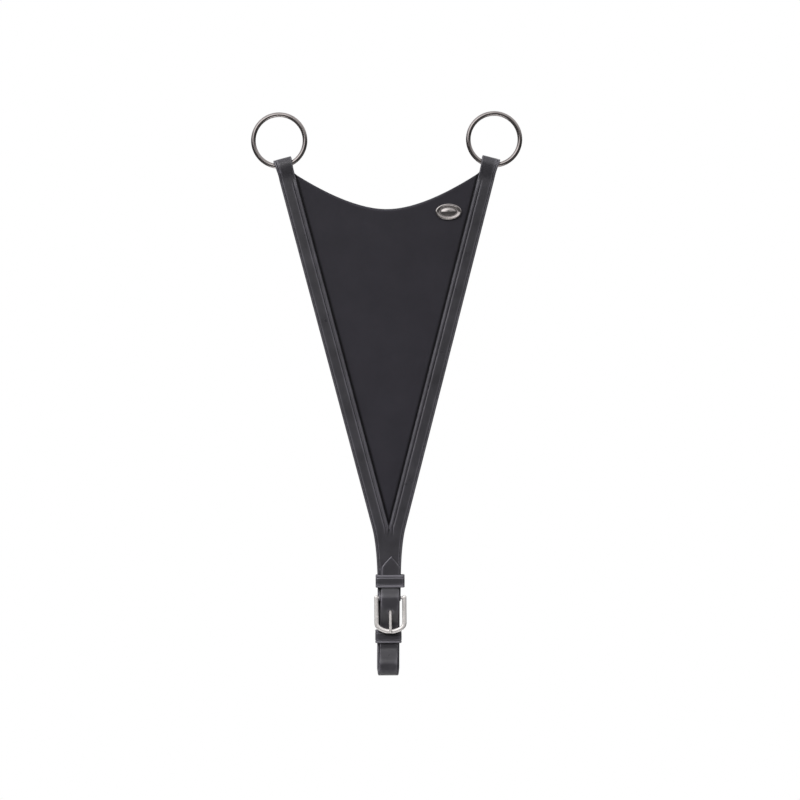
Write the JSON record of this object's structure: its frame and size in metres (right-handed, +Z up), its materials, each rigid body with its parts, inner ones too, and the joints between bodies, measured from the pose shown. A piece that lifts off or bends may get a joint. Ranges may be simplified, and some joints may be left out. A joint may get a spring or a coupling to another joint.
{
  "type": "bib martingale",
  "caption": "Black leather bib martingale with a wire ring on each strap arm, a flat leather bib between them, and a buckled strap loop at the bottom.",
  "frame": {"origin": "centre of the bend at the bottom of the strap loop, where the breastplate is attached", "axes": "+Z up the centre line towards the rings, -Y out of the front of the leather, +X towards the badge side"},
  "size_m": [0.2312, 0.0163, 0.4799],
  "materials": {
    "strap_leather": "dressed bridle leather, soft sheen",
    "bib_leather": "matt, fine grain",
    "lining_leather": "matt",
    "filler_leather": "raw",
    "thread": "waxed",
    "steel": "polished"
  },
  "bodies": {
    "bib": {"yoke_front": "strap_leather", "bib_panel": "bib_leather", "yoke_backing": "lining_leather", "edge_filler_left": "filler_leather", "edge_filler_right": "filler_leather", "lower_strap": "strap_leather", "buckle_chape": "strap_leather", "upper_keeper": "strap_leather", "badge_body": "steel", "badge_washers": "steel"},
    "left_ring": {"ring_left": "steel"},
    "right_ring": {"ring_right": "steel"},
    "buckle": {"buckle_frame": "steel"},
    "prong": {"buckle_prong": "steel"},
    "sliding_keeper": {"lower_keeper": "strap_leather"}
  },
  "joints": [
    {"name": "ring_left_swing", "type": "hinge", "parent": "bib", "child": "left_ring", "pos_m": [-0.08604, 0.0047, 0.42871], "axis": [0.9676, 0, 0.2526], "range_deg": [-150, 150]},
    {"name": "ring_right_swing", "type": "hinge", "parent": "bib", "child": "right_ring", "pos_m": [0.08604, 0.0047, 0.42871], "axis": [0.9676, 0, -0.2526], "range_deg": [-150, 150]},
    {"name": "buckle_rock", "type": "hinge", "parent": "bib", "child": "buckle", "pos_m": [0.0009, 0.00065, 0.06], "axis": [-1, 0, 0], "range_deg": [0, 2]},
    {"name": "prong_lift", "type": "hinge", "parent": "buckle", "child": "prong", "pos_m": [0.0009, 0.00065, 0.06], "axis": [-1, 0, 0], "range_deg": [0, 3]},
    {"name": "keeper_slide", "type": "slide", "parent": "bib", "child": "sliding_keeper", "axis": [0, 0, 1], "range_m": [-0.003, 0.001]}
  ]
}
